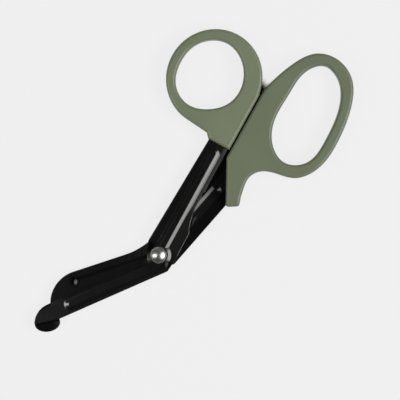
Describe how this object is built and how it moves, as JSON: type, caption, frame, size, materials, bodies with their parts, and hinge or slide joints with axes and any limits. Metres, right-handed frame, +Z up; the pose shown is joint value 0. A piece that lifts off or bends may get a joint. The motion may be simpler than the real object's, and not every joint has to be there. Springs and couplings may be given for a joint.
{
  "type": "bandage scissors",
  "caption": "Angled bandage scissors: two pressed steel blades, the lower one toothed with a rounded folded foot, moulded plastic finger loops and a domed pivot rivet.",
  "frame": {"origin": "centre of the closed scissors' footprint, on the table they lie on", "axes": "+X along the closed handles away from the blades, +Y to the thumb loop's side, +Z up along the rivet from the table to the rivet's domed head"},
  "size_m": [0.1906, 0.091, 0.0091],
  "materials": {
    "blade_steel": "black non-stick coating, satin",
    "handle_plastic": "moulded olive-green plastic, matte with a fine grain",
    "rivet_steel": "turned bright steel"
  },
  "bodies": {
    "thumb_half": {"lower_blade": "blade_steel", "thumb_handle": "handle_plastic", "pivot_rivet": "rivet_steel", "front_washer": "rivet_steel", "rear_washer": "rivet_steel"},
    "finger_half": {"upper_blade": "blade_steel", "finger_handle": "handle_plastic"}
  },
  "joints": [
    {"name": "pivot", "type": "hinge", "parent": "thumb_half", "child": "finger_half", "pos_m": [-0.0322, -0.00298, 0.0044], "axis": [0, 0, -1], "range_deg": [0, 60]}
  ]
}
